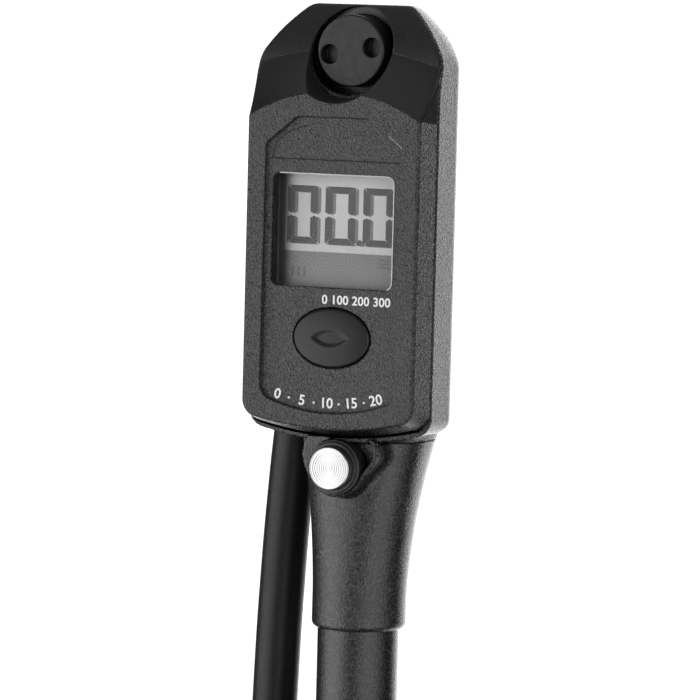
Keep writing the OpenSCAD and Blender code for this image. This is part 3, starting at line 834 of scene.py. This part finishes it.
stands_for(carved("cover_shell", cover_field, *box_mm("front_cover"), FINE),
           "pump_head", "cover_black", "front_cover")
stands_for(carved("housing_shell", housing_field, *box_mm("rear_housing", 0.8), COARSE),
           "pump_head", "grained_black", "rear_housing")
stands_for(carved("neck_shell", neck_field, *box_mm("neck", 0.8), COARSE),
           "pump_head", "grained_black", "neck", look=NECK)
stands_for(carved("oval_key", key_field, *box_mm("mode_button", 0.8), FINE),
           "mode_key", "key_rubber", "mode_button")
stands_for(carved("swivel_cap", cap_field, *box_mm("swivel_bolt", 0.8), FINE),
           "pump_head", "cap_grey", "swivel_bolt")
stands_for(carved("swivel_eye", fitting_field, *box_mm("swivel_fitting", 1.0), FINE),
           "hose_arm", "fitting_black", "swivel_fitting")
stands_for(carved("battery_lid", hatch_field, *box_mm("battery_door", 0.8), FINE),
           "battery_hatch", "grained_black", "battery_door")


def bleed_button():
    """Disc with turned rings on its face."""
    face, pitch = -19.05, 0.55
    rings = [(r, face + 0.02 * math.cos(2 * math.pi * r / pitch))
             for r in np.linspace(0, 4.65, 60)]
    rim_and_back = [(4.85, face + 0.08), (5, face + 0.3), (5, -14.1), (1.4, -14.1),
                    (1.4, -15.9), (0, -15.9)]
    return turned("bleed_disc", rings + rim_and_back, (0, 0, BLEED_Z), "Y")


stands_for(bleed_button(), "bleed_valve", "bare_aluminium", "bleed_button", look=RINGED)
guide = rounded([(5.06, -16.9), (5.06, -9.2), (6.38, -9.2), (6.38, -16.2), (5.95, -16.3),
                 (5.85, -17.0), (5.3, -17.0)], 0.18)
stands_for(turned("bleed_guide", guide, (0, 0, BLEED_Z), "Y"), "pump_head", "cover_black",
           "bleed_collar", look=LOOKS["handle_plastic"])


# ---------------------------------------------------------------- display and marks

def flat_shapes(name, shapes, y, thick=0.06):
    """Thin plates facing the reader, from outlines in X and Z."""
    points, faces = [], []
    for shape in shapes:
        n, first = len(shape), len(points)
        points += [(x, y - thick, z) for x, z in shape] + [(x, y, z) for x, z in shape]
        faces.append(list(range(first, first + n)))
        faces.append(list(range(first + 2 * n - 1, first + n - 1, -1)))
        for i in range(n):
            j = (i + 1) % n
            faces.append((first + j, first + i, first + n + i, first + n + j))
    piece = object_from(name, points, faces)
    sharpen(piece, 20)
    return piece


DIGIT_W, DIGIT_H, DIGIT_Z = 7.6, 13.3, 220.0
UPRIGHT, CROSS = 1.85, 1.5     # stroke widths of the segments
MITRE = 0.05                   # half of the slit between two segments
DIGIT_X = (-13.7, -4.2, 5.3)


def zero(x0):
    """The six lit segments of a nought: mitred corners, points at half height."""
    x1, z0, z1 = x0 + DIGIT_W, DIGIT_Z, DIGIT_Z + DIGIT_H
    mid = (z0 + z1) / 2
    shapes = []
    for left, inner in ((x0, x0 + UPRIGHT), (x1, x1 - UPRIGHT)):
        for end, sign in ((z1, -1), (z0, 1)):
            near = left + (0.25 if left < inner else -0.25)
            shapes.append([(left, end + sign * 0.5), (near, end + sign * (0.1 + MITRE)),
                           (inner, end + sign * (CROSS + 0.2 + MITRE)), (inner, mid - sign * 0.75),
                           ((left + inner) / 2, mid - sign * 0.2), (left, mid - sign * 0.75)])
    for end, sign in ((z1, -1), (z0, 1)):
        shapes.append([(x0 + 0.3 + MITRE, end), (x1 - 0.3 - MITRE, end),
                       (x1 - UPRIGHT + 0.05, end + sign * CROSS),
                       (x0 + UPRIGHT - 0.05, end + sign * CROSS)])
    return shapes


def turned_right(shapes):
    """Order each outline's points so that its plate faces the reader."""
    fixed = []
    for s in shapes:
        area = sum(a[0] * b[1] - b[0] * a[1] for a, b in zip(s, s[1:] + s[:1]))
        fixed.append(s if area > 0 else s[::-1])
    return fixed


def shifted(shapes, dx, dz):
    return [[(x + dx, z + dz) for x, z in s] for s in shapes]


def bar(x0, z0, x1, z1):
    return [(x0, z0), (x1, z0), (x1, z1), (x0, z1)]


GLASS_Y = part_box("lcd_panel")[0][1] / MM
digits = [s for x in DIGIT_X for s in zero(x)]
digits.append(bar(4.0, DIGIT_Z, 5.0, DIGIT_Z + 1.3))
lit = flat_shapes("display_digits", turned_right(digits), GLASS_Y - 0.02, 0.01)
dress(lit, "pump_head", "display_glass", SEGMENT)
dim = flat_shapes("display_digit_shadows", turned_right(shifted(digits, 0.8, -0.15)), GLASS_Y, 0.01)
dress(dim, "pump_head", "display_glass", DIM)
small = [bar(-12.4 + 1.5 * i, 212.4, -11.8 + 1.5 * i, 214.6) for i in range(3)]
small += [bar(9.2, 215.0 + 0.85 * i, 13.6, 215.45 + 0.85 * i) for i in range(3)]
dress(flat_shapes("display_icons", turned_right(small), GLASS_Y, 0.01),
      "pump_head", "display_glass", FAINT)


def strokes_along(name, path, radius):
    """Thin round line along points, as a mesh."""
    data = bpy.data.curves.new(name, "CURVE")
    data.dimensions = "3D"
    data.bevel_depth = radius * MM
    data.bevel_resolution = 2
    spline = data.splines.new("POLY")
    spline.points.add(len(path) - 1)
    for point, co in zip(spline.points, path):
        point.co = (*[c * MM for c in co], 1)
    holder = link(bpy.data.objects.new(name, data))
    return as_mesh(holder, name)


def as_mesh(holder, name):
    """Turn a curve or text object into a mesh object of this name."""
    bpy.context.view_layer.update()
    evaluated = holder.evaluated_get(bpy.context.evaluated_depsgraph_get())
    mesh = bpy.data.meshes.new_from_object(evaluated)
    piece = link(bpy.data.objects.new(name + "_mesh", mesh))
    piece.matrix_world = holder.matrix_world.copy()
    bpy.data.objects.remove(holder)
    piece.name = name
    return piece


def window_rim_highlight():
    """Painted highlight along the window's rim, a pale line over its top and down its right side.
    """
    y, x = PANEL_Y - 0.02, WINDOW_W - WINDOW_BEND
    corners = arc(x, WINDOW_HIGH - WINDOW_BEND, WINDOW_BEND, 90, 0)
    corners += arc(x, WINDOW_LOW + WINDOW_BEND, WINDOW_BEND, 0, -70)
    path = [(-13.4, y, WINDOW_HIGH)] + [(x, y, z) for x, z in corners]
    return strokes_along("window_rim_highlight", path, 0.13)


def panel_shade_lines():
    """Painted shade round the panel's recess, as dark lines: up its left side and over its top, a
    wider one low down, and a thin one on the right.
    """
    y = PANEL_Y - 0.02
    left_and_top = [(-16.95, y, 188), (-16.85, y, 242.8), (-8.9, y, 249.25), (8.8, y, 249.25)]
    low = [(x, y, PANEL_LOW_Z - math.sqrt(PANEL_LOW_R ** 2 - x ** 2))
           for x in np.linspace(-14.5, 14.5, 16)]
    right_side = [(16.95, y, 188), (16.85, y, 242.8)]
    return [strokes_along("panel_shade_top", left_and_top, 0.15),
            strokes_along("panel_shade_low", low, 0.26),
            strokes_along("panel_shade_right", right_side, 0.09)]


# Round floor of the pocket, over the square edge of the swivel block
pocket_ring = turned_tube("pocket_ring", 10.15, 8.4, -5.9, -5.42, 0.1,
                          centre=(0, 0, SWIVEL_Z), axis="Y")
dress(pocket_ring, "pump_head", "fitting_black")
# Painted highlight along the window's rim
dress(window_rim_highlight(), "pump_head", "clear_lens", PAINTED_HIGHLIGHT)
# Painted shade along the panel's recessed edges
for piece in panel_shade_lines():
    dress(piece, "pump_head", "cover_black", MARK_AND_SHADE_LINE)
# Painted highlight: a thin pale line along the panel's upper right bevel
glint = [(13.9, FACE_Y - 0.01, 245.65), (17.2, FACE_Y - 0.01, 243.0)]
dress(strokes_along("panel_glint", glint, 0.04), "pump_head", "cover_black", PAINTED_HIGHLIGHT)
ARCH_Y, ARCH_Z = PANEL_Y - 0.01, 239.5      # the arch over the display and the line under it
base_line = [(-15.5, ARCH_Y, ARCH_Z), (16.0, ARCH_Y, ARCH_Z)]
dress(strokes_along("panel_line", base_line, 0.14), "pump_head", "cover_black", MARK_AND_SHADE_LINE)
arch = [(x, ARCH_Y, ARCH_Z + 8.4 * math.sin(math.acos(min(1, -x / 15.4))) ** 0.8)
        for x in np.linspace(-15.4, -6.5, 14)]
dress(strokes_along("panel_arch", arch, 0.12), "pump_head", "cover_black", MARK_AND_SHADE_LINE)


def crease_bead(side):
    """Fine moulded bead along the crease, from the pocket to the cover's edge."""
    path = []
    for x in np.linspace(10.6, HEAD_W - 1.7, 14):
        z = float(crease(x))
        path.append((side * x, float(upper_face(z)) - 0.02, z))
    return strokes_along("crease_bead_left" if side < 0 else "crease_bead_right", path, 0.1)


for side in (-1, 1):
    dress(crease_bead(side), "pump_head", "cover_black", LOOKS["handle_plastic"])


ROW_R = 54.0          # bow of the row of numbers under the key, and its middle
ROW_Z = 236.9


def text(name, words, x, z, size, spacing=1.0, lean=0.0):
    """Printed words on the panel, from their lower left corner, turned by lean."""
    data = bpy.data.curves.new(name, "FONT")
    data.body = words
    data.size = size * MM
    data.extrude = 0.02 * MM
    data.offset = 0.05 * MM
    data.space_character = spacing
    data.align_x = "LEFT"
    holder = link(bpy.data.objects.new(name, data))
    holder.matrix_world = (Matrix.Translation(Vector((x, PANEL_Y - 0.02, z)) * MM)
                           @ Matrix.Rotation(-lean, 4, "Y") @ Matrix.Rotation(math.pi / 2, 4, "X"))
    return as_mesh(holder, name)


def numbers_along():
    """A row of plain scale numbers that follows the panel's bowed edge, with dots between."""
    marks = ["0", ".", "5", ".", "10", ".", "15", ".", "20"]
    for i, mark in enumerate(marks):
        lean = math.asin((-12.9 + 3.15 * i) / ROW_R)
        if mark == ".":
            name, width, raised = "row_dot_%d" % i, 0.8, 0.8
        else:
            name, width, raised = "row_number_" + mark, 1.65 * len(mark), 0.0
        x = ROW_R * math.sin(lean) - width / 2
        z = ROW_Z - ROW_R * math.cos(lean - width / 2 / ROW_R)
        row = text(name, mark, x, z + raised, 3.3, 1.0, lean)
        dress(row, "pump_head", "cover_black", INK)


dress(text("scale_numbers", "0 100 200 300", -2.1, 206.8, 2.85, 1.03),
      "pump_head", "cover_black", INK)
numbers_along()

# ---------------------------------------------------------------- barrel, handle, hose end

stands_for(turned_tube("barrel_tube", 9.5, 8.05, 16, 145.9, 0.3),
           "pump_head", "black_barrel", "barrel")
stands_for(turned_tube("handle_top", 16.2, 10.6, 92, 100, 1.4),
           "plunger", "handle_plastic", "handle_collar")


def grip_outline():
    """Sleeve with round grooves between its raised bands."""
    low, high, grooves, r = 7.1, 91.9, 7, 15.5
    pitch = (high - low - 5) / grooves
    outer = [(r - 0.6, low), (r, low + 0.8)]
    for i in range(grooves):
        z = low + 5.9 + pitch * i
        outer += [(r, z - 1.6), (r - 0.35, z - 1.1), (r - 0.75, z - 0.4), (r - 0.8, z),
                  (r - 0.75, z + 0.4), (r - 0.35, z + 1.1), (r, z + 1.6)]
    return [(13.5, low)] + outer + [(r, high - 0.8), (r - 0.6, high), (13.5, high)]


def grip_ribs(angle, r, h):
    """Shallow flutes along the raised bands."""
    return 0.12 * math.cos(36 * angle) if r > 15.3 else 0.0


stands_for(turned("grip_sleeve", grip_outline(), wave=grip_ribs, steps=288),
           "plunger", "grip_rubber", "handle_grip")
foot = [(0, 0.25), (3.2, 0.25), (3.6, 0), (15.8, 0), (16.7, 0.35), (17, 1.2), (17, 4.4),
        (16.6, 5.5), (15.6, 6), (10.3, 6.05), (10.3, 8), (4.1, 8), (4.1, 2), (0, 2)]
stands_for(turned("handle_foot", foot), "plunger", "handle_plastic", "handle_end_cap")


def ferrule_outline(low, high):
    """Crimped sleeve with three pressed bands."""
    pitch = (high - low) / 4
    outer = [(6.0, low), (6.6, low + 0.5)]
    for i in (1, 2, 3):
        z = low + pitch * i
        outer += [(6.6, z - 1.1), (6.2, z - 0.7), (6.2, z + 0.7), (6.6, z + 1.1)]
    return [(2.0, low)] + outer + [(6.6, high - 0.5), (6.0, high), (2.0, high)]


upper = turned("ferrule_upper", rounded(ferrule_outline(15.05, 28), 0.3))
lean_turn = Matrix.Rotation(math.pi + LEAN, 4, "Y")
upper.data.transform(Matrix.Translation(Vector((0, HOSE_Y, SWIVEL_Z)) * MM) @ lean_turn)
stands_for(upper, "hose_arm", "bare_aluminium", "hose_ferrule_top")
CHUCK = (-28.3, HOSE_Y, 0)
lower = stands_for(turned("ferrule_lower", rounded(ferrule_outline(41, 54), 0.3), CHUCK),
                   "hose_arm", "bare_aluminium", "hose_ferrule_end")


def knurl(angle, r, h):
    """Crossed grooves between the collar's two smooth ends."""
    if r < 8.5 or h < 17 or h > 37:
        return 0.0
    twist = (h - 27) * 0.28 * 0.35
    nearest = min(abs(math.sin(14 * (angle + side * twist))) for side in (-1, 1))
    return -0.45 * (1 - nearest ** 0.7)


def collar():
    """The chuck's collar, with enough points along it to carry the knurl."""
    outer = [(8.2, 14), (9, 14.8), (9, 16.2), (8.6, 16.6), (8.6, 16.9)]
    outer += [(9, 17.1 + 0.33 * i) for i in range(61)]
    outer += [(8.6, 37.3), (8.6, 37.7), (9, 38.1), (9, 39.8), (8.2, 40.6)]
    inner = [(4.6, 40.6), (4.6, 27), (5.75, 26.9), (5.85, 14)]
    return turned("chuck_knurled_collar", outer + inner, CHUCK, steps=252, wave=knurl)


grip_ring = stands_for(collar(), "chuck", "bare_aluminium", "chuck_collar")


def insert():
    """Threaded mouth: the thread is drawn as close rings inside the bore."""
    thread = []
    for i in range(10):
        z = 12.4 + 0.8 * i
        thread += [(4.05, z), (3.9, z + 0.4)]
    outline = [(4.4, 12.0), (7.0, 12.0), (7.4, 12.4), (7.4, 13.9), (5.75, 13.95), (5.75, 23.9),
               (5.05, 23.9), (5.05, 20.5), (3.92, 20.5)] + thread[::-1]
    return turned("chuck_threaded_mouth", outline, CHUCK)


mouth = stands_for(insert(), "chuck", "brass", "chuck_insert")

# ---------------------------------------------------------------- springs

def spring(name, node, along, wire, turns):
    """Coil in its CAD node's box."""
    low, high = (np.array(v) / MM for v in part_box(node))
    middle, reach = (low + high) / 2, (high - low) / 2 - wire
    others = [i for i in range(3) if i != along]
    path = []
    for a in np.linspace(0, 2 * math.pi * turns, 20 * turns + 1):
        spot = middle.copy()
        spot[along] += reach[along] * (a / (math.pi * turns) - 1)
        spot[others[0]] += reach[others[0]] * math.cos(a)
        spot[others[1]] += reach[others[1]] * math.sin(a)
        path.append(tuple(spot))
    piece = stands_for(strokes_along(name, path, wire), "pump_head", "steel", node)
    anchor = middle * MM
    anchor[along] = high[along] * MM
    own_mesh(piece)


spring("bleed_coil", "bleed_spring", 1, 0.22, 5)
spring("check_valve_coil", "check_valve_spring", 2, 0.25, 4)

# ---------------------------------------------------------------- the hose

dress(hose, "hose_arm", "hose_rubber")
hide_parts("hose")

# ---------------------------------------------------------------- the CAD pieces that stay

SMALL_EDGE = 0.15
BEVELLED = ("swivel_clip", "swivel_spacer", "housing_screws", "rod_nut", "chuck_stem")
for row in frame["record"]["subparts"]:
    node = nodes[row["node"]]
    if node.hide_render:
        continue
    node.data.materials.clear()
    node.data.materials.append(LOOKS[row["material_slot"]])
    if row["node"] in BEVELLED:
        bevel = node.modifiers.new("edge", "BEVEL")
        bevel.width = SMALL_EDGE * MM
        bevel.segments = 2
        bevel.limit_method = "ANGLE"

# ---------------------------------------------------------------- stage and light

FLOOR_HALF = 60.0     # metres
FLOOR_Z = -0.101      # metres; the pulled-out handle reaches 0.1 m below the rest position


def stage_floor():
    """Wide pale floor, lit from within so that it stays even. It throws no light back."""
    points = [(x * FLOOR_HALF, y * FLOOR_HALF, FLOOR_Z)
              for x, y in ((-1, -1), (1, -1), (1, 1), (-1, 1))]
    mesh = bpy.data.meshes.new("floor")
    mesh.from_pydata(points, [], [(0, 1, 2, 3)])
    floor = link(bpy.data.objects.new("floor", mesh))
    made, tree, skin, place = start("pale_floor")
    fine = noise(tree, place, 40.0)
    tree.links.new(shaded(tree, fine, (0.86, 0.86, 0.86), (0.9, 0.9, 0.9)),
                   skin.inputs["Base Color"])
    skin.inputs["Roughness"].default_value = 0.9
    skin.inputs["Specular IOR Level"].default_value = 0.0
    skin.inputs["Emission Color"].default_value = (1, 1, 1, 1)
    skin.inputs["Emission Strength"].default_value = 0.8
    floor.data.materials.append(made)
    floor.visible_diffuse = floor.visible_glossy = floor.visible_transmission = False


def band(tree, value, low, high, soft):
    """One between low and high, falling to nothing within soft on either side."""
    smooth = {"interpolation_type": "SMOOTHSTEP"}
    rise = mapped(tree, value, low - soft, low + soft, **smooth)
    fall = mapped(tree, value, high - soft, high + soft, 1.0, 0.0, **smooth)
    return times(tree, rise, fall)


# Softboxes round the object: azimuth from the reader's side towards +X, then elevation, in
# degrees, with brightness and softness of the edges
SOFTBOXES = [
    (-82, -13, -50, 24, 2.75, 7),      # left front
    (22, 89, -50, 24, 1.8, 5),         # right front
    (156, 224, -60, 34, 2.7, 5),       # white wall behind
    (-224, -136, -60, 34, 2.7, 9),     # the same wall, where the angle wraps
    (-200, 200, 48, 100, 0.36, 10),    # dim ceiling
]
AMBIENT = 0.06


def studio():
    """World of softboxes, which the camera itself sees as plain white."""
    world = bpy.data.worlds.new("studio")
    world.use_nodes = True
    tree = world.node_tree
    back = tree.nodes["Background"]
    way = put(tree, "ShaderNodeTexCoord").outputs["Generated"]
    split = put(tree, "ShaderNodeSeparateXYZ", {0: way}).outputs
    ahead = times(tree, split["Y"], -1.0)
    to_degrees = 180 / math.pi
    azimuth = times(tree, math_node(tree, "ARCTAN2", split["X"], ahead), to_degrees)
    height = times(tree, math_node(tree, "ARCSINE", split["Z"]), to_degrees)
    total = AMBIENT
    for az0, az1, el0, el1, power, soft in SOFTBOXES:
        lit = times(tree, band(tree, azimuth, az0, az1, soft), band(tree, height, el0, el1, soft))
        total = plus(tree, total, times(tree, lit, power))
    seen = put(tree, "ShaderNodeLightPath").outputs["Is Camera Ray"]
    mixed = put(tree, "ShaderNodeMix", data_type="FLOAT")
    tree.links.new(seen, mixed.inputs["Factor"])
    tree.links.new(total, mixed.inputs["A"])
    mixed.inputs["B"].default_value = 1.0
    tree.links.new(mixed.outputs["Result"], back.inputs["Strength"])
    back.inputs["Color"].default_value = (1, 1, 1, 1)
    bpy.context.scene.world = world
    bpy.context.scene.view_settings.view_transform = "Standard"


stage_floor()
studio()
